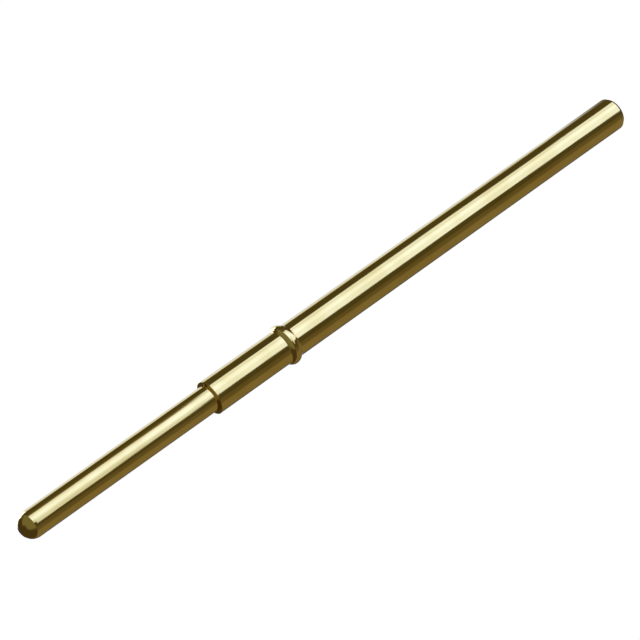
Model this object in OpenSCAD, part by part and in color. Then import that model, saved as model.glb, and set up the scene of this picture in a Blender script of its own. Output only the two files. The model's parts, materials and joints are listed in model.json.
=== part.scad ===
// Spring-loaded contact probe with a rolled press ring. Lengths are in millimetres.
// Z runs from the closed tail up to the round tip, and the press ring seats on its plate at Z = 0.
// The three pieces share one axis: the drawn barrel, the plunger that slides in it, and the
// compression spring between the plunger's shoulder and the barrel's floor.

/* [Barrel] */
// Outside diameter of the tube
barrel_d = 1.36; // [1.32:0.01:1.6]
// Wall of the tube
barrel_wall = 0.09; // [0.06:0.01:0.11]
// Length of the barrel from mouth to tail
barrel_len = 21.8; // [17:0.1:30]
// Thickness of the closed tail
tail_floor = 0.25; // [0.15:0.01:0.8]
// Radius of the outer edge at the tail
tail_edge = 0.13; // [0.04:0.01:0.2]
// Radius of the inner corner at the tail
floor_corner = 0.04; // [0.01:0.01:0.055]
// Radius of the outer edge at the mouth
mouth_edge = 0.02; // [0.01:0.01:0.05]
// Length of the turned-in lip that keeps the plunger in
lip_len = 0.45; // [0.2:0.05:1.5]

/* [Press ring] */
// Diameter over the rolled ring
ring_d = 1.62; // [1.5:0.01:1.8]
// Radius of the ring's round crown, seen in section
ring_crown = 0.28; // [0.2:0.01:0.5]
// Radius of the hollow where the ring runs out into the tube
ring_fillet = 0.04; // [0.02:0.01:0.1]
// Distance from the middle of the ring to the mouth
ring_to_mouth = 3.7; // [1.5:0.1:6]

/* [Plunger] */
// Diameter of the shaft and its round tip
plunger_d = 1.06; // [0.8:0.01:1.12]
// Length of plunger that stands out of the barrel at rest
plunger_out = 8.7; // [3:0.1:12]
// Radial clearance of the shaft in the lip
shaft_clear = 0.01; // [0.01:0.005:0.03]
// Length of the guide head inside the barrel
head_len = 2.6; // [1.2:0.1:4]
// Radial clearance of the guide head in the tube
guide_clear = 0.015; // [0.01:0.005:0.03]
// Chamfer on the rear edge of the guide head
head_chamfer = 0.05; // [0.02:0.01:0.1]
// Length of the pilot that centres the spring
pilot_len = 0.6; // [0.3:0.1:1.5]
// Radial clearance of the pilot in the spring
pilot_clear = 0.04; // [0.03:0.01:0.08]
// Chamfer on the end of the pilot
pilot_chamfer = 0.08; // [0.02:0.01:0.12]

/* [Spring] */
// Diameter of the spring wire
wire_d = 0.18; // [0.12:0.01:0.2]
// Radial clearance of the spring in the tube
spring_clear = 0.06; // [0.06:0.01:0.1]
// Number of turns, with the closed ones
spring_turns = 42; // [20:1:44]
// Turns that lie closed at each end
closed_turns = 1.5; // [1:0.5:3]
// Share of the wire's thickness left between closed turns
closed_gap = 0.06; // [0.02:0.01:0.2]

/* [Hidden] */
$fn = 96;

// Radii of the tube and of the ring rolled from it
barrel_r = barrel_d / 2;
bore_r = barrel_r - barrel_wall;
ring_rise = ring_d / 2 - barrel_r;
ring_half = sqrt(pow(ring_crown + ring_fillet, 2) - pow(ring_crown + ring_fillet - ring_rise, 2));

// Heights of the barrel's stations above the ring's seat
ring_z = ring_half;
mouth_z = ring_z + ring_to_mouth;
lip_z = mouth_z - lip_len;
tail_z = mouth_z - barrel_len;
floor_z = tail_z + tail_floor;

// Radii and heights of the plunger, which hangs from the lip by its guide head
plunger_r = plunger_d / 2;
lip_r = plunger_r + shaft_clear;
head_r = bore_r - guide_clear;
tip_z = mouth_z + plunger_out;
shoulder_z = lip_z - head_len;

// The spring fills the room between the shoulder and the floor
spring_r = bore_r - spring_clear - wire_d / 2;
spring_len = shoulder_z - floor_z;
closed_pitch = wire_d * (1 + closed_gap);
open_turns = spring_turns - 2 * closed_turns;
open_pitch = (spring_len - 2 * closed_turns * closed_pitch) / open_turns;
wire_sides = 8;
turn_steps = 12;
spring_steps = spring_turns * turn_steps;

// The inside of the coil is narrowest halfway between two of its steps
coil_inner_r = spring_r * cos(180 / turn_steps) - wire_d / 2;
pilot_r = coil_inner_r - pilot_clear;

// Section of a solid rod from z0 up to z1, with its lower and upper outer corners rounded
module rounded_rod_section(r, z0, z1, low_round, high_round) {
    translate([0, z0 + low_round])
        square([r, z1 - z0 - low_round - high_round]);
    translate([0, z0])
        square([r - low_round, z1 - z0]);
    translate([0, z0 + low_round])
        square([r - high_round, z1 - z0 - low_round]);
    translate([r - low_round, z0 + low_round])
        circle(low_round);
    translate([r - high_round, z1 - high_round])
        circle(high_round);
}

// Section of a bead on a rod of radius r: a round crown that runs out in two hollows.
// The same centres with both radii shifted by one wall give the inside of the rolled tube.
module bead_section(r, crown, hollow) {
    reach = crown + hollow;
    half = sqrt(reach * reach - pow(reach - ring_rise, 2));
    crown_x = r + ring_rise - crown;
    difference() {
        union() {
            translate([crown_x, 0])
                intersection() {
                    circle(crown);
                    translate([reach - ring_rise - hollow, -crown])
                        square([crown, 2 * crown]);
                }
            polygon([
                [r - hollow, -half],
                [r, -half],
                [r + hollow * (1 - (reach - ring_rise) / reach), -half * (1 - hollow / reach)],
                [r + hollow * (1 - (reach - ring_rise) / reach), half * (1 - hollow / reach)],
                [r, half],
                [r - hollow, half]
            ]);
        }
        for (side = [-1, 1])
            translate([r + hollow, side * half])
                circle(hollow);
    }
}

// Drawn tube: closed tail, ring rolled out of its wall, and a lip turned in at the mouth
module barrel() {
    color("gold")
        rotate_extrude()
            difference() {
                union() {
                    rounded_rod_section(barrel_r, tail_z, mouth_z, tail_edge, mouth_edge);
                    translate([0, ring_z])
                        bead_section(barrel_r, ring_crown, ring_fillet);
                }
                rounded_rod_section(bore_r, floor_z, lip_z, floor_corner, 0);
                translate([0, ring_z])
                    bead_section(bore_r, ring_crown - barrel_wall, ring_fillet + barrel_wall);
                translate([0, lip_z])
                    square([lip_r, lip_len]);
            }
}

// Turned plunger: round tip, shaft, guide head that stops at the lip, and the spring's pilot
module plunger() {
    tip_centre_z = tip_z - plunger_r;
    pilot_z = shoulder_z - pilot_len;
    color("goldenrod")
        rotate_extrude() {
            intersection() {
                translate([0, tip_centre_z])
                    circle(plunger_r);
                translate([0, tip_centre_z - plunger_r])
                    square([plunger_r, 2 * plunger_r]);
            }
            polygon([
                [0, pilot_z],
                [pilot_r - pilot_chamfer, pilot_z],
                [pilot_r, pilot_z + pilot_chamfer],
                [pilot_r, shoulder_z],
                [head_r - head_chamfer, shoulder_z],
                [head_r, shoulder_z + head_chamfer],
                [head_r, lip_z],
                [plunger_r, lip_z],
                [plunger_r, tip_centre_z],
                [0, tip_centre_z]
            ]);
        }
}

// Height of the wire's centre above the floor after a number of turns
function coil_height(turns) =
    turns < closed_turns ? turns * closed_pitch :
    turns > spring_turns - closed_turns ? spring_len - (spring_turns - turns) * closed_pitch :
    closed_turns * closed_pitch + (turns - closed_turns) * open_pitch;

// One corner of the wire's section; limiting its height grinds the two ends flat
function wire_point(step, corner) =
    let (
        turn_angle = 360 * step / turn_steps,
        corner_angle = 360 * (corner + 0.5) / wire_sides,
        r = spring_r + wire_d / 2 * cos(corner_angle),
        z = coil_height(step / turn_steps) + wire_d / 2 * sin(corner_angle)
    )
    [r * cos(turn_angle), r * sin(turn_angle), floor_z + min(max(z, 0), spring_len)];

// Compression spring with closed and ground ends, swept as one closed skin
module spring() {
    points = [
        for (step = [0:spring_steps], corner = [0:wire_sides - 1])
            wire_point(step, corner)
    ];
    skin = [
        for (step = [0:spring_steps - 1], corner = [0:wire_sides - 1])
            let (
                a = step * wire_sides + corner,
                b = step * wire_sides + (corner + 1) % wire_sides
            )
            each [[a, b, b + wire_sides], [a, b + wire_sides, a + wire_sides]]
    ];
    first_cap = [for (k = [2:wire_sides - 1]) [1, (k + 1) % wire_sides, k]];
    last_ring = spring_steps * wire_sides;
    last_cap = [
        for (k = [2:wire_sides - 1])
            [last_ring + 5, last_ring + (k + 4) % wire_sides, last_ring + (k + 5) % wire_sides]
    ];
    color("silver")
        polyhedron(points, concat(skin, first_cap, last_cap));
}

barrel();
plunger();
spring();
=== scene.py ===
# %% [markdown]
# # A spring contact pin in polished gold plating
# The real object is a tube about as thick as a pencil lead, with a plunger that slides in it and
# a spring behind the plunger. Nearly every surface on it is a section turned about one axis.
# This lesson turns those sections, winds the spring, mixes the gold and builds the small light
# tent that a polished rod needs, because a mirror shows little but the room it stands in.

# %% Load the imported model
import json
import math

import bmesh
import bpy
from mathutils import Matrix, Vector


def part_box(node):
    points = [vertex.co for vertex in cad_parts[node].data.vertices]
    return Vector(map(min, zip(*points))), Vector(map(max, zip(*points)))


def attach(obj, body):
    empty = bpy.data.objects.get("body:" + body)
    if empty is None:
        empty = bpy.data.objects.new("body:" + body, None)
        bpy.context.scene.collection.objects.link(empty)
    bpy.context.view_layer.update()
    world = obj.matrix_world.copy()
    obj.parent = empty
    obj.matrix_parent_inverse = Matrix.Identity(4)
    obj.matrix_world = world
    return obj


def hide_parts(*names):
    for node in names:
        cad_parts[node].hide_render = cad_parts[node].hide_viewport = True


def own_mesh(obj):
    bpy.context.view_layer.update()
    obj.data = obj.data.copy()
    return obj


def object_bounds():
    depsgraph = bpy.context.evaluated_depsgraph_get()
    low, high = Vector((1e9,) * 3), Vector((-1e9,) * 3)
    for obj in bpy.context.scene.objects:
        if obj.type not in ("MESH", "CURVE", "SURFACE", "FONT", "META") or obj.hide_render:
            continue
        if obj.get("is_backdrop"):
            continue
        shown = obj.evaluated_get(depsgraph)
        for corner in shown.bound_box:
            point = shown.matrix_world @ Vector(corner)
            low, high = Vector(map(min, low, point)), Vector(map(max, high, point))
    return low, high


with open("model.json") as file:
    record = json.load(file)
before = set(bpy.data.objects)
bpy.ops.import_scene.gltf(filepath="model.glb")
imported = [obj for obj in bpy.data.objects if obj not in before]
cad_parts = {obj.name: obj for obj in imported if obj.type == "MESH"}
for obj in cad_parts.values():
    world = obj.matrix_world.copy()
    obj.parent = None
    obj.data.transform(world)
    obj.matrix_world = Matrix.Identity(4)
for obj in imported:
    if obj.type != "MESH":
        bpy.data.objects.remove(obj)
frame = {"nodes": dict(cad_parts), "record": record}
cad_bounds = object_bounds()
record = frame["record"]

# %% [markdown]
# ## Measuring the solids
# Each piece has to lie exactly where its solid lies. The solids are turned too, so two numbers
# say where a point is: its height on the axis, and its distance from the axis. Reading them from
# the solids is safer than typing them in again, because a new size then arrives by itself.
# A point counts as lying at a height when it is within a hair of it.

# %% Read a solid's points
MM = 0.001
HAIR = 0.002 * MM


def stations(node):
    """Every point of a solid as (radius, height), in metres."""
    points = frame["nodes"][node].data.vertices
    return [(math.hypot(p.co.x, p.co.y), p.co.z) for p in points]


def radius_between(node, low, high, pick):
    """The largest or smallest radius that a solid has between two heights."""
    return pick(r for r, z in stations(node) if low <= z <= high)


print({node: len(stations(node)) for node in ("barrel", "plunger", "spring")}, "points")

# %% Heights of the solids
tail_z, mouth_z = (corner.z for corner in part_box("barrel"))
pilot_z, tip_z = (corner.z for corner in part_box("plunger"))
floor_z, shoulder_z = (corner.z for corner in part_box("spring"))
ring_top_z = max(z for r, z in stations("barrel") if z < mouth_z / 2)
print(f"tube {(mouth_z - tail_z) / MM:.1f} mm long, plunger {(tip_z - mouth_z) / MM:.1f} mm out")

# %% Radii of the solids
seat = next(m for m in record["mounts"] if m["name"] == "barrel_seat")
barrel_r = seat["dims"]["r_mm"] * MM
tail_edge = -seat["dims"]["length_mm"] * MM - tail_z
bore_r = radius_between("barrel", -HAIR, HAIR, min)
lip_r = radius_between("barrel", mouth_z - HAIR, mouth_z + HAIR, min)
plunger_r = radius_between("plunger", mouth_z, tip_z, max)
head_r = radius_between("plunger", pilot_z, mouth_z, max)
pilot_r = radius_between("plunger", pilot_z, shoulder_z - HAIR, max)
spring_r = radius_between("spring", floor_z, shoulder_z, max)
lip_z = max(z for r, z in stations("plunger") if r > head_r - HAIR)
print(f"tube {2 * barrel_r / MM:.2f} mm across, plunger {2 * plunger_r / MM:.2f} mm across")
print(f"bore {2 * bore_r / MM:.2f}, lip {2 * lip_r / MM:.2f}, guide head {2 * head_r / MM:.2f} mm")

# %% [markdown]
# ## Drawing a section with operators
# A turned piece starts as one vertex on the axis. The vertex is extruded to draw straight lines,
# and spun about a centre to draw true arcs. A straight run gets a holding point just inside each
# end: without it, smooth shading would bend the long tube's normals towards the small radii next
# to it, and a mirror finish shows that at once.

# %% Lines and arcs of a section
ARC_STEP = math.radians(6)
FEWEST_STEPS = 4
HOLD = 0.015 * MM
SHORT_RUN = 4 * HOLD


class Section:
    """A line in the XZ plane, drawn from point to point, for turning about Z."""

    def __init__(self, radius, height):
        self.mesh = bmesh.new()
        self.end = self.mesh.verts.new((radius, 0, height))

    def point(self, place):
        grown = bmesh.ops.extrude_vert_indiv(self.mesh, verts=[self.end])
        self.end = grown["verts"][0]
        self.end.co = place

    def line(self, radius, height):
        """Draws a straight run, with holding points unless it is a short one."""
        start, stop = self.end.co.copy(), Vector((radius, 0, height))
        way = stop - start
        if way.length > SHORT_RUN:
            self.point(start + way.normalized() * HOLD)
            self.point(stop - way.normalized() * HOLD)
        self.point(stop)

    def arc(self, radius, height, degrees):
        """Turns the end point about a centre; a positive angle turns from Z towards X."""
        angle = math.radians(degrees)
        grown = bmesh.ops.spin(
            self.mesh, geom=[self.end], cent=(radius, 0, height), axis=(0, 1, 0),
            angle=angle, steps=max(FEWEST_STEPS, math.ceil(abs(angle) / ARC_STEP)),
        )
        self.end = next(g for g in grown["geom_last"] if isinstance(g, bmesh.types.BMVert))


print(f"an arc takes a step every {math.degrees(ARC_STEP):.0f} degrees or less")

# %% [markdown]
# ## From a section to a finished piece
# Spinning the section once round the axis makes the skin. The points on the axis then lie on top
# of each other, so doubles are merged, which closes the poles, and the normals are recalculated
# to face outwards. Edges sharper than 30 degrees are marked sharp, so that a turned corner stays
# crisp while the curves stay smooth. An edge with a face on one side only would be a hole in the
# skin, so such edges are counted, and the count should be nought.

# %% Turning, shading and handing over a piece
TURN_STEPS = 160
TOUCHING = 0.0002 * MM
SHARP = math.radians(30)


def turn(section):
    """Spins a section once round the axis and returns the skin's bmesh."""
    bm = section.mesh
    bmesh.ops.spin(
        bm, geom=bm.verts[:] + bm.edges[:], cent=(0, 0, 0), axis=(0, 0, 1),
        angle=2 * math.pi, steps=TURN_STEPS, use_merge=True,
    )
    return bm


def finish_piece(bm, name, body):
    """Makes an object of a mesh, gives it to its body, and lets it stand for its solid."""
    bmesh.ops.remove_doubles(bm, verts=bm.verts, dist=TOUCHING)
    bmesh.ops.recalc_face_normals(bm, faces=bm.faces)
    for face in bm.faces:
        face.smooth = True
    for edge in bm.edges:
        edge.smooth = len(edge.link_faces) == 2 and edge.calc_face_angle() < SHARP
    open_edges = sum(1 for edge in bm.edges if not edge.is_manifold)
    mesh = bpy.data.meshes.new(name)
    bm.to_mesh(mesh)
    bm.free()
    piece = bpy.data.objects.new(name, mesh)
    bpy.context.scene.collection.objects.link(piece)
    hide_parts(name.split(".")[0])
    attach(piece, body)
    triangles = sum(len(face.vertices) - 2 for face in mesh.polygons)
    print(f"{name}: {triangles} triangles, {open_edges} open edges")
    return piece


print(f"{TURN_STEPS} steps round the axis, sharp from {math.degrees(SHARP):.0f} degrees")

# %% [markdown]
# ## The barrel
# The real barrel is one drawn tube. Its tail is closed, a ring is rolled out of its wall, and its
# mouth is turned in over the plunger. A modeller could cut these from a cylinder with booleans,
# but one closed section does it all: up the outside, over the mouth, and down the bore.
#
# The ring is three arcs that run into each other, a hollow, a crown and a hollow. The bore follows
# it with the same centres, one wall further in, as it does in a tube that was rolled. The tail's
# edge is a narrow cone with a soft arc at each end. In a polished finish the cone mirrors a darker
# part of the room than the wall does, which draws a thin dark line round the tail's end.

# %% Shape of the ring
RING_HOLLOW = 0.04 * MM

wall = barrel_r - bore_r
ring_z = ring_top_z / 2
ring_rise = radius_between("barrel", 0, ring_top_z, max) - barrel_r
# Crown and hollow meet in one straight line of centres, and this is its length.
ring_reach = (ring_z ** 2 + ring_rise ** 2) / (2 * ring_rise)
ring_slope = math.degrees(math.asin(ring_z / ring_reach))
crown_r = barrel_r + ring_rise - (ring_reach - RING_HOLLOW)


def ring_outside(section):
    """Upwards over the ring: hollow, crown, hollow."""
    section.arc(barrel_r + RING_HOLLOW, 0, ring_slope)
    section.arc(crown_r, ring_z, -2 * ring_slope)
    section.arc(barrel_r + RING_HOLLOW, ring_top_z, ring_slope)


def ring_inside(section):
    """Downwards behind the ring, one wall further in."""
    section.arc(barrel_r + RING_HOLLOW, ring_top_z, -ring_slope)
    section.arc(crown_r, ring_z, 2 * ring_slope)
    section.arc(barrel_r + RING_HOLLOW, 0, -ring_slope)


print(f"wall {wall / MM:.2f} mm")
print(f"ring {ring_top_z / MM:.2f} mm long and {ring_rise / MM:.2f} mm high")

# %% Shape of the tail's edge
TAIL_SOFT = 0.03 * MM
TAIL_FULLNESS = 0.04 * MM

cone = math.atan2(tail_edge, tail_edge - TAIL_FULLNESS)
cone_reach = TAIL_SOFT * math.tan(cone / 2)
wall_reach = TAIL_SOFT * math.tan((math.pi / 2 - cone) / 2)
cone_start = barrel_r - tail_edge + TAIL_FULLNESS - cone_reach
cone_stop = tail_z + tail_edge + wall_reach


def tail_outside(section):
    """Outwards over the flat tail and up its soft cone to the wall."""
    section.line(cone_start, tail_z)
    section.arc(cone_start, tail_z + TAIL_SOFT, -math.degrees(cone))
    section.line(
        barrel_r - TAIL_SOFT * (1 - math.sin(cone)), cone_stop - TAIL_SOFT * math.cos(cone),
    )
    section.arc(barrel_r - TAIL_SOFT, cone_stop, math.degrees(cone) - 90)


print(f"the tail's cone leans {math.degrees(cone):.0f} degrees from the flat")

# %% Turn the barrel
MOUTH_EDGE = 0.02 * MM
FLOOR_CORNER = 0.04 * MM

outline = Section(0, tail_z)
tail_outside(outline)
outline.line(barrel_r, 0)
ring_outside(outline)
outline.line(barrel_r, mouth_z - MOUTH_EDGE)
outline.arc(barrel_r - MOUTH_EDGE, mouth_z - MOUTH_EDGE, -90)
outline.line(lip_r, mouth_z)
outline.line(lip_r, lip_z)
outline.line(bore_r, lip_z)
outline.line(bore_r, ring_top_z)
ring_inside(outline)
outline.line(bore_r, floor_z + FLOOR_CORNER)
outline.arc(bore_r - FLOOR_CORNER, floor_z + FLOOR_CORNER, 90)
outline.line(0, floor_z)
barrel = finish_piece(turn(outline), "barrel.tube", "barrel")

# %% [markdown]
# ## The plunger
# The plunger is turned from solid rod. Outside the barrel it is a plain shaft with a half-round
# tip. Inside it carries a guide head that fills the bore and stops at the lip, and a short pilot
# that centres the spring. The tip is a quarter arc that ends on the axis, so its pole closes.

# %% Turn the plunger
HEAD_CHAMFER = 0.05 * MM
PILOT_CHAMFER = 0.08 * MM

outline = Section(0, pilot_z)
outline.line(pilot_r - PILOT_CHAMFER, pilot_z)
outline.line(pilot_r, pilot_z + PILOT_CHAMFER)
outline.line(pilot_r, shoulder_z)
outline.line(head_r - HEAD_CHAMFER, shoulder_z)
outline.line(head_r, shoulder_z + HEAD_CHAMFER)
outline.line(head_r, lip_z)
outline.line(plunger_r, lip_z)
outline.line(plunger_r, tip_z - plunger_r)
outline.arc(0, tip_z - plunger_r, -90)
plunger = finish_piece(turn(outline), "plunger.turned", "plunger")

# %% [markdown]
# ## The spring
# A spin with a step along its axis is a helix. The round wire starts as a small circle standing
# in a plane through the axis, and three spins carry it on from each other: closed turns that lie
# nearly against each other, open turns that do the work, and closed turns again. Two flat cuts
# then grind the ends, so that the spring stands square on the floor and under the shoulder.

# %% Wire and turns
WIRE = 0.18 * MM
TURNS = 42
CLOSED_TURNS = 1.5
CLOSED_PITCH = 1.06 * WIRE

coil_r = spring_r - WIRE / 2
spring_length = shoulder_z - floor_z
open_turns = TURNS - 2 * CLOSED_TURNS
open_pitch = (spring_length - 2 * CLOSED_TURNS * CLOSED_PITCH) / open_turns
print(f"{TURNS} turns of {WIRE / MM:.2f} mm wire, open pitch {open_pitch / MM:.3f} mm")

# %% Helpers that wind and grind
STEPS_PER_TURN = 24
ON_PLANE = 1e-9


def wind(bm, ring, turns, pitch):
    """Carries the wire's end ring on for some turns and returns the new end ring."""
    steps = round(turns * STEPS_PER_TURN)
    grown = bmesh.ops.spin(
        bm, geom=ring, cent=(0, 0, 0), axis=(0, 0, 1), angle=2 * math.pi * turns,
        dvec=(0, 0, pitch / STEPS_PER_TURN), steps=steps,
    )
    return [g for g in grown["geom_last"] if not isinstance(g, bmesh.types.BMFace)]


def grind(bm, height, upwards):
    """Cuts the wire flat at a height, drops what lies beyond and closes the cut."""
    cut = bmesh.ops.bisect_plane(
        bm, geom=bm.verts[:] + bm.edges[:] + bm.faces[:], dist=ON_PLANE,
        plane_co=(0, 0, height), plane_no=(0, 0, 1 if upwards else -1), clear_outer=True,
    )
    rim = [g for g in cut["geom_cut"] if isinstance(g, bmesh.types.BMEdge)]
    bmesh.ops.holes_fill(bm, edges=[e for e in rim if e.is_boundary], sides=0)


print(f"{STEPS_PER_TURN} steps to a turn, {round(TURNS * STEPS_PER_TURN)} in the whole spring")

# %% Wind the spring
WIRE_SIDES = 12

wire = bmesh.new()
stand = Matrix.Translation((coil_r, 0, floor_z)) @ Matrix.Rotation(math.pi / 2, 4, "X")
bmesh.ops.create_circle(wire, segments=WIRE_SIDES, radius=WIRE / 2, matrix=stand)
wire_end = wire.verts[:] + wire.edges[:]
wire_end = wind(wire, wire_end, CLOSED_TURNS, CLOSED_PITCH)
wire_end = wind(wire, wire_end, open_turns, open_pitch)
wind(wire, wire_end, CLOSED_TURNS, CLOSED_PITCH)
bmesh.ops.remove_doubles(wire, verts=wire.verts, dist=TOUCHING)
grind(wire, floor_z, upwards=False)
grind(wire, shoulder_z, upwards=True)
bmesh.ops.holes_fill(wire, edges=[e for e in wire.edges if e.is_boundary], sides=0)
spring = finish_piece(wire, "spring.wound", "barrel")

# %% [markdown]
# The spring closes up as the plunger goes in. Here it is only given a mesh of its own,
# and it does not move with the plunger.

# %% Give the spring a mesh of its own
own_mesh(spring)

# %% [markdown]
# ## Marks of the making
# Both metals get their small marks from two shared node groups. The tube and the rod were drawn
# through dies, so their skin carries faint lines along the length. The plating over them is not
# quite even: it has a fine grain, and cloudy places that are a little deeper in colour. Both
# groups read Object coordinates and give out plain values, so that each metal can use them in its
# own measure. The coordinates are turned into millimetres first, because noise is easier to judge
# that way on a piece as thin as this.

# %% Helpers for node groups
def new_group(name, outputs):
    """A shader group that starts with coordinates in millimetres."""
    group = bpy.data.node_groups.new(name, "ShaderNodeTree")
    group.interface.new_socket("Scale", in_out="INPUT", socket_type="NodeSocketFloat")
    for output in outputs:
        group.interface.new_socket(output, in_out="OUTPUT", socket_type="NodeSocketFloat")
    nodes, links = group.nodes, group.links
    place = nodes.new("ShaderNodeTexCoord")
    millimetres = nodes.new("ShaderNodeMapping")
    millimetres.inputs["Scale"].default_value = (1 / MM, 1 / MM, 1 / MM)
    links.new(place.outputs["Object"], millimetres.inputs["Vector"])
    return group, nodes.new("NodeGroupInput"), nodes.new("NodeGroupOutput"), millimetres


def noise_in(group, vector, scale, detail):
    """Noise in a group, from a vector socket and a scale socket."""
    noise = group.nodes.new("ShaderNodeTexNoise")
    noise.inputs["Detail"].default_value = detail
    group.links.new(vector, noise.inputs["Vector"])
    group.links.new(scale, noise.inputs["Scale"])
    return noise.outputs["Fac"]


def times(group, value, factor):
    """A socket's value multiplied by a fixed number."""
    product = group.nodes.new("ShaderNodeMath")
    product.operation = "MULTIPLY"
    product.inputs[1].default_value = factor
    group.links.new(value, product.inputs[0])
    return product.outputs["Value"]


print("one unit of the groups' coordinates is a millimetre")

# %% Lines left by drawing
LINES_STRETCH = 0.012
FINE_LINES = 8

draw_lines, group_in, group_out, place = new_group("draw_lines", ["Waves", "Lines"])
stretch = draw_lines.nodes.new("ShaderNodeMapping")
stretch.inputs["Scale"].default_value = (1, 1, LINES_STRETCH)
draw_lines.links.new(place.outputs["Vector"], stretch.inputs["Vector"])
along = stretch.outputs["Vector"]
finer = times(draw_lines, group_in.outputs["Scale"], FINE_LINES)
waves = noise_in(draw_lines, along, group_in.outputs["Scale"], detail=2)
lines = noise_in(draw_lines, along, finer, detail=3)
draw_lines.links.new(waves, group_out.inputs["Waves"])
draw_lines.links.new(lines, group_out.inputs["Lines"])
print(f"group {draw_lines.name}: stretched {1 / LINES_STRETCH:.0f} times along the pin")

# %% Grain and clouds of the plating
FINE_GRAIN = 25

plate_grain, group_in, group_out, place = new_group("plate_grain", ["Grain", "Clouds"])
finer = times(plate_grain, group_in.outputs["Scale"], FINE_GRAIN)
clouds = noise_in(plate_grain, place.outputs["Vector"], group_in.outputs["Scale"], detail=2)
grain = noise_in(plate_grain, place.outputs["Vector"], finer, detail=1)
plate_grain.links.new(grain, group_out.inputs["Grain"])
plate_grain.links.new(clouds, group_out.inputs["Clouds"])
print(f"group {plate_grain.name}: grain {FINE_GRAIN} times finer than the clouds")

# %% [markdown]
# ## Gold and spring steel
# Gold is a metal, so its colour is the colour of its mirror. The base colour is a warm gold, and
# the clouds mix in a deeper one. The roughness stays low, because plating over a polished rod is
# nearly a mirror, and grain and lines only lift it here and there. The lines also tilt the
# surface very slightly, which is what makes the long reflections waver along the rod. The spring
# is plain drawn wire, greyer and rougher. It works out of sight in the tube.

# %% A drawn metal
LINES_SCALE = 1.6
CLOUDS_SCALE = 0.9
CLOUD_RANGE = (0.35, 0.60)
WEAR_RANGE = (0.75, 1.25)
LINE_SHARE = 0.10


def shared(nodes, group, scale):
    """Places a shared group in a material, with its own scale."""
    node = nodes.new("ShaderNodeGroup")
    node.node_tree = group
    node.inputs["Scale"].default_value = scale
    return node


def metal(name, colours, roughness, wave_depth):
    """A metal with clouds in its colour, grain in its gloss and lines in its surface."""
    material = bpy.data.materials.new(name)
    material.use_nodes = True
    nodes, links = material.node_tree.nodes, material.node_tree.links
    shader = nodes["Principled BSDF"]
    shader.inputs["Metallic"].default_value = 1
    marks = shared(nodes, draw_lines, LINES_SCALE)
    plating = shared(nodes, plate_grain, CLOUDS_SCALE)

    tone = nodes.new("ShaderNodeValToRGB")
    for stop, position, colour in zip(tone.color_ramp.elements, CLOUD_RANGE, colours):
        stop.position = position
        stop.color = (*colour, 1)
    links.new(plating.outputs["Clouds"], tone.inputs["Fac"])
    links.new(tone.outputs["Color"], shader.inputs["Base Color"])

    wear = nodes.new("ShaderNodeMath")
    wear.operation = "ADD"
    links.new(plating.outputs["Grain"], wear.inputs[0])
    links.new(marks.outputs["Lines"], wear.inputs[1])
    gloss = nodes.new("ShaderNodeMapRange")
    gloss.inputs["From Min"].default_value, gloss.inputs["From Max"].default_value = WEAR_RANGE
    gloss.inputs["To Min"].default_value, gloss.inputs["To Max"].default_value = roughness
    links.new(wear.outputs["Value"], gloss.inputs["Value"])
    links.new(gloss.outputs["Result"], shader.inputs["Roughness"])

    normal = None
    for height, depth in (("Waves", wave_depth), ("Lines", wave_depth * LINE_SHARE)):
        surface = nodes.new("ShaderNodeBump")
        surface.inputs["Strength"].default_value = 1
        surface.inputs["Distance"].default_value = depth
        links.new(marks.outputs[height], surface.inputs["Height"])
        if normal:
            links.new(normal, surface.inputs["Normal"])
        normal = surface.outputs["Normal"]
    links.new(normal, shader.inputs["Normal"])
    return material


print(f"the fine lines are {LINE_SHARE:.0%} as deep as the waves")

# %% Mix the metals
GOLD = (0.97, 0.70, 0.22)
GOLD_DEEP = (0.90, 0.63, 0.18)
GOLD_ROUGHNESS = (0.05, 0.10)
GOLD_WAVES = 0.028 * MM
STEEL = (0.52, 0.51, 0.50)
STEEL_DEEP = (0.42, 0.41, 0.40)
STEEL_ROUGHNESS = (0.22, 0.34)
STEEL_WAVES = 0.002 * MM

gold = metal("gold_plating", (GOLD_DEEP, GOLD), GOLD_ROUGHNESS, GOLD_WAVES)
steel = metal("spring_wire", (STEEL_DEEP, STEEL), STEEL_ROUGHNESS, STEEL_WAVES)
barrel.data.materials.append(gold)
plunger.data.materials.append(gold)
spring.data.materials.append(steel)
print("metals:", gold.name, steel.name)

# %% [markdown]
# ## The camera
# A long lens, close to the pin. The camera stands in front of the pin and 28 degrees above it,
# looks down at a point near the ring, and is rolled until the pin lies across the frame from the
# lower left, where its tip is, to the upper right. The near clipping plane comes close, because
# the whole pin is only three centimetres long.

# %% Set up the camera
CAMERA_HEIGHT = math.radians(27.95)
CAMERA_ROLL = math.radians(35.27)
CAMERA_DISTANCE = 86.78 * MM
CAMERA_LENS = 132.2
CAMERA_AIM = Vector((0, 0, -1.532 * MM))
NEAR_CLIP = 1 * MM
FAR_CLIP = 20

look = Vector((0, math.cos(CAMERA_HEIGHT), -math.sin(CAMERA_HEIGHT)))
across = Vector((1, 0, 0))
above = across.cross(look)
frame_right = -across * math.sin(CAMERA_ROLL) - above * math.cos(CAMERA_ROLL)
frame_up = across * math.cos(CAMERA_ROLL) - above * math.sin(CAMERA_ROLL)

lens = bpy.data.cameras.new("camera")
lens.lens = CAMERA_LENS
lens.clip_start = NEAR_CLIP
lens.clip_end = FAR_CLIP
camera = bpy.data.objects.new("camera", lens)
bpy.context.scene.collection.objects.link(camera)
turned = Matrix((frame_right, frame_up, -look)).transposed().to_4x4()
camera.matrix_world = Matrix.Translation(CAMERA_AIM - look * CAMERA_DISTANCE) @ turned
bpy.context.scene.camera = camera
print(f"{CAMERA_LENS:.0f} mm lens, {CAMERA_DISTANCE / MM:.0f} mm from the pin")

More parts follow.
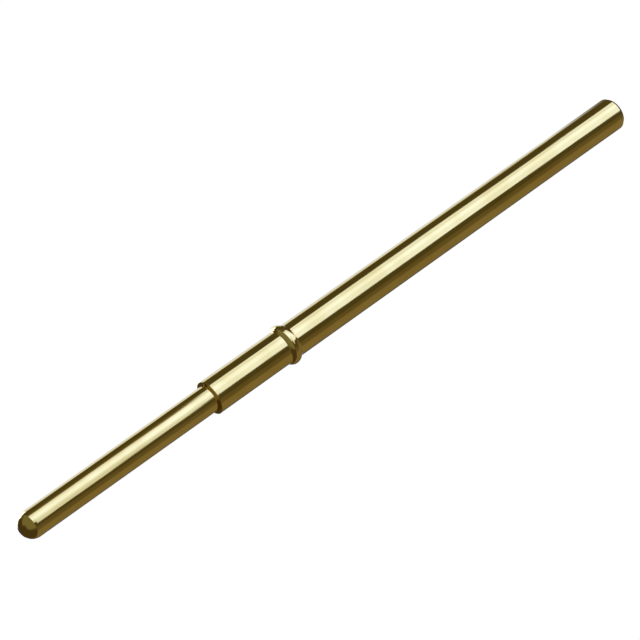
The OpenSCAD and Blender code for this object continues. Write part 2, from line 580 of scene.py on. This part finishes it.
# %% [markdown]
# ## The light tent
# A polished rod has hardly any shade of its own. It shows the room as narrow bands that run along
# it, so the room is built to suit: a softbox at the front, dark flags on both sides of it to give
# the bright band clean edges, a brown board to one side, a pale card and a narrow strip light
# behind, and a dim ceiling. The camera looks down at the pin, so an upright rod mirrors what lies
# below the horizon, and the tent has to close under the pin as well.
#
# Here the tent is one sphere with painted walls. It has seven storeys, and each storey is a ring
# of colours by compass angle: 0 is the front, 90 the side towards X, 180 the back. The softbox is
# cool, like daylight, because a cool light turns gold's bright band to pale cream and not orange.
# Only mirrors see the tent. It neither lights the floor nor hides the pin from the camera.

# %% Choose the tent's colours
SOFTBOX = (1.05, 1.41, 3.10)
SOFTBOX_DIM = (0.93, 1.23, 2.55)
SOFTBOX_SIDE = (0.72, 0.91, 1.55)
SOFTBOX_EDGE = (0.83, 1.05, 1.95)
FLAG = (0.070, 0.064, 0.028)
BROWN = (0.196, 0.171, 0.100)
BROWN_DARK = (0.115, 0.100, 0.055)
CARD = (0.77, 0.92, 1.35)
CARD_GLARE = (1.60, 2.10, 3.80)
REAR_STRIP = (0.90, 1.15, 2.00)
CEILING = (0.178, 0.188, 0.130)
NIGHT = (0.062, 0.047, 0.026)
print("the softbox is", round(SOFTBOX[1] / FLAG[1]), "times as bright as the flags")

# %% Lay out the walls
LEFT_WALL = [(-162, FLAG), (-150, BROWN_DARK), (-125, BROWN), (-80, BROWN)]
FRONT_FLAG = [(-62, BROWN_DARK), (-45, BROWN_DARK), (-35, FLAG)]
LOW_WALL = LEFT_WALL + FRONT_FLAG + [
    (-15, FLAG), (-13, SOFTBOX_DIM), (12, SOFTBOX_DIM), (22, SOFTBOX), (38, SOFTBOX),
    (50, SOFTBOX_EDGE), (54, SOFTBOX_EDGE), (59, SOFTBOX_DIM), (65, SOFTBOX_EDGE), (68, FLAG),
]


def high_wall(softbox_edge):
    """The wall of an upper storey, whose softbox starts at the given angle."""
    return LEFT_WALL + FRONT_FLAG + [
        (softbox_edge - 3, FLAG), (softbox_edge, SOFTBOX_SIDE), (softbox_edge + 14, SOFTBOX_SIDE),
        (13, SOFTBOX_DIM), (18, SOFTBOX), (34, SOFTBOX), (48, SOFTBOX_DIM), (55, SOFTBOX_EDGE),
        (60, BROWN), (66, BROWN_DARK), (84, FLAG),
    ]


REAR = [(171, REAR_STRIP), (-166, REAR_STRIP)]
CARD_BACK = [(117, FLAG), (121, CARD), (168, CARD)] + REAR
GLARE_BACK = [(112, FLAG), (116, CARD_GLARE), (168, CARD_GLARE)] + REAR
CEILING_RING = [
    (-180, NIGHT), (-54, NIGHT), (-32, CEILING), (86, CEILING), (106, NIGHT), (180, NIGHT),
]
CEILING_GLARE = [(116, NIGHT), (120, CARD_GLARE), (168, CARD_GLARE), (171, NIGHT)]
print("stops round the lowest wall:", len(LOW_WALL))

# %% [markdown]
# A storey is given by the height of its lower edge and by the half width of the blend over that
# edge, both in degrees above the horizon as seen from the pin, and by its ring of colours. The
# heights are few, because a rod mirrors only a narrow belt of the room, and the ends of the pin
# and the ring's flanks mirror the rest.

# %% Stack the storeys
STOREYS = [
    (-90, 0, LOW_WALL),
    (-42, 1.5, LOW_WALL + CARD_BACK),
    (-22.4, 0.5, high_wall(-20) + CARD_BACK),
    (-9, 3, high_wall(-6) + GLARE_BACK),
    (9, 1.5, CEILING_RING + CEILING_GLARE),
    (22, 1.5, CEILING_RING),
    (72, 11, [(-180, NIGHT), (180, NIGHT)]),
]
print("storeys start at", [bottom for bottom, blend, rows in STOREYS], "degrees")

# %% Paint the tent
TENT_R = 120 * MM


def compass_ramp(nodes, links, compass, rows):
    """A ring of colours, given by compass angle in degrees."""
    ramp = nodes.new("ShaderNodeValToRGB")
    # The compass value is nought at the side away from X and grows by one in a full turn.
    placed = sorted(((angle / 360 + 0.25) % 1, colour) for angle, colour in rows)
    stops = ramp.color_ramp.elements
    while len(stops) < len(placed):
        stops.new(1)
    for stop, (position, colour) in zip(stops, placed):
        stop.position = position
        stop.color = (*colour, 1)
    links.new(compass, ramp.inputs["Fac"])
    return ramp.outputs["Color"]


def tent_height(degrees):
    """The height on the tent at an angle above the horizon."""
    return TENT_R * math.sin(math.radians(degrees))


def tent_paint():
    """Paint that glows by itself and blends the storeys one over the other."""
    material = bpy.data.materials.new("tent")
    material.use_nodes = True
    nodes, links = material.node_tree.nodes, material.node_tree.links
    nodes.clear()
    output = nodes.new("ShaderNodeOutputMaterial")
    glow = nodes.new("ShaderNodeEmission")
    place = nodes.new("ShaderNodeTexCoord")
    compass = nodes.new("ShaderNodeTexGradient")
    compass.gradient_type = "RADIAL"
    height = nodes.new("ShaderNodeSeparateXYZ")
    links.new(place.outputs["Object"], compass.inputs["Vector"])
    links.new(place.outputs["Object"], height.inputs["Vector"])
    colour = compass_ramp(nodes, links, compass.outputs["Fac"], STOREYS[0][2])
    for bottom, blend, rows in STOREYS[1:]:
        ring = compass_ramp(nodes, links, compass.outputs["Fac"], rows)
        step = nodes.new("ShaderNodeMapRange")
        step.inputs["From Min"].default_value = tent_height(bottom - blend)
        step.inputs["From Max"].default_value = tent_height(bottom + blend)
        mix = nodes.new("ShaderNodeMix")
        mix.data_type = "RGBA"
        links.new(height.outputs["Z"], step.inputs["Value"])
        links.new(step.outputs["Result"], mix.inputs["Factor"])
        links.new(colour, mix.inputs["A"])
        links.new(ring, mix.inputs["B"])
        colour = mix.outputs["Result"]
    links.new(colour, glow.inputs["Color"])
    links.new(glow.outputs["Emission"], output.inputs["Surface"])
    return material


tent_material = tent_paint()
print("tent paint:", len(tent_material.node_tree.nodes), "nodes")

# %% Put up the tent
TENT_SIDES = 96
TENT_ROWS = 48


def stage_object(bm, name, material):
    """Makes an object that belongs to the stage and not to the pin."""
    mesh = bpy.data.meshes.new(name)
    bm.to_mesh(mesh)
    bm.free()
    thing = bpy.data.objects.new(name, mesh)
    bpy.context.scene.collection.objects.link(thing)
    mesh.materials.append(material)
    thing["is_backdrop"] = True
    return thing


shell = bmesh.new()
bmesh.ops.create_uvsphere(shell, u_segments=TENT_SIDES, v_segments=TENT_ROWS, radius=TENT_R)
tent = stage_object(shell, "light_tent", tent_material)
tent.visible_camera = False
tent.visible_diffuse = False
tent.visible_transmission = False
tent.visible_volume_scatter = False
tent.visible_shadow = False
print(f"tent {2 * TENT_R / MM:.0f} mm across, {len(STOREYS)} storeys")

# %% [markdown]
# ## Floor, sky and lamp
# The pin hangs in a white room. The floor is matt and nearly white, and the sky gives even, soft
# light. A small glow that only the camera sees lifts the floor to full white, and no further: an
# over-bright background would eat into the edges of a rod as thin as this. One large soft lamp
# adds the direction that matt things need, and it is kept out of the mirror.

# %% Lay the floor
FLOOR_Z = -140 * MM
FLOOR_R = 4
FLOOR_SIDES = 96
FLOOR_COLOUR = (0.85, 0.85, 0.85)
FLOOR_LIFT = 0.32
WHITE = (1, 1, 1, 1)


def floor_paint():
    """Matt, nearly white paint with a glow that only the camera sees."""
    material = bpy.data.materials.new("floor")
    material.use_nodes = True
    nodes, links = material.node_tree.nodes, material.node_tree.links
    shader = nodes["Principled BSDF"]
    shader.inputs["Base Color"].default_value = (*FLOOR_COLOUR, 1)
    shader.inputs["Roughness"].default_value = 1
    shader.inputs["Specular IOR Level"].default_value = 0
    shader.inputs["Emission Color"].default_value = WHITE
    seen_by = nodes.new("ShaderNodeLightPath")
    lift = nodes.new("ShaderNodeMath")
    lift.operation = "MULTIPLY"
    lift.inputs[1].default_value = FLOOR_LIFT
    links.new(seen_by.outputs["Is Camera Ray"], lift.inputs[0])
    links.new(lift.outputs["Value"], shader.inputs["Emission Strength"])
    return material


disc = bmesh.new()
below = Matrix.Translation((0, 0, FLOOR_Z))
bmesh.ops.create_circle(disc, cap_ends=True, segments=FLOOR_SIDES, radius=FLOOR_R, matrix=below)
stage_object(disc, "floor", floor_paint())
print(f"floor {FLOOR_R} m in radius, {-FLOOR_Z / MM:.0f} mm below the ring")

# %% [markdown]
# The sky lights matt things at a plain level, and camera, mirrors and glass see it as full white.

# %% Light the sky
SKY_LIGHT = 0.8

sky = bpy.data.worlds.new("sky")
sky.use_nodes = True
nodes, links = sky.node_tree.nodes, sky.node_tree.links
seen_by = nodes.new("ShaderNodeLightPath")
rays = seen_by.outputs["Is Camera Ray"]
for kind in ("Is Glossy Ray", "Is Transmission Ray"):
    either = nodes.new("ShaderNodeMath")
    either.operation = "MAXIMUM"
    links.new(rays, either.inputs[0])
    links.new(seen_by.outputs[kind], either.inputs[1])
    rays = either.outputs["Value"]
level = nodes.new("ShaderNodeMapRange")
level.inputs["To Min"].default_value = SKY_LIGHT
level.inputs["To Max"].default_value = 1
links.new(rays, level.inputs["Value"])
links.new(level.outputs["Result"], nodes["Background"].inputs["Strength"])
nodes["Background"].inputs["Color"].default_value = WHITE
bpy.context.scene.world = sky
print("sky light", SKY_LIGHT)

# %% Hang the lamp
LAMP_SIZE = 0.4
LAMP_POWER = 0.35
LAMP_PLACE = Vector((-0.25, -0.35, 0.6))

lamp_light = bpy.data.lights.new("soft_lamp", "AREA")
lamp_light.size = LAMP_SIZE
lamp_light.energy = LAMP_POWER
lamp = bpy.data.objects.new("soft_lamp", lamp_light)
lamp.visible_glossy = False
aimed = LAMP_PLACE.to_track_quat("Z", "Y").to_matrix().to_4x4()
lamp.matrix_world = Matrix.Translation(LAMP_PLACE) @ aimed
bpy.context.scene.collection.objects.link(lamp)
bpy.context.scene.view_settings.view_transform = "Standard"
print(f"lamp {LAMP_SIZE} m across, {LAMP_PLACE.length:.2f} m from the pin")

# %% [markdown]
# ## Closing
# The visual model must not outgrow the solids, so both boxes are printed.

# %% Print the sizes and finish
visual_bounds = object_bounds()
boxes = {
    "cad": [list(corner) for corner in cad_bounds],
    "visual": [list(corner) for corner in visual_bounds],
}
for name, (low, high) in boxes.items():
    print(name, [round((b - a) / MM, 3) for a, b in zip(low, high)], "mm")
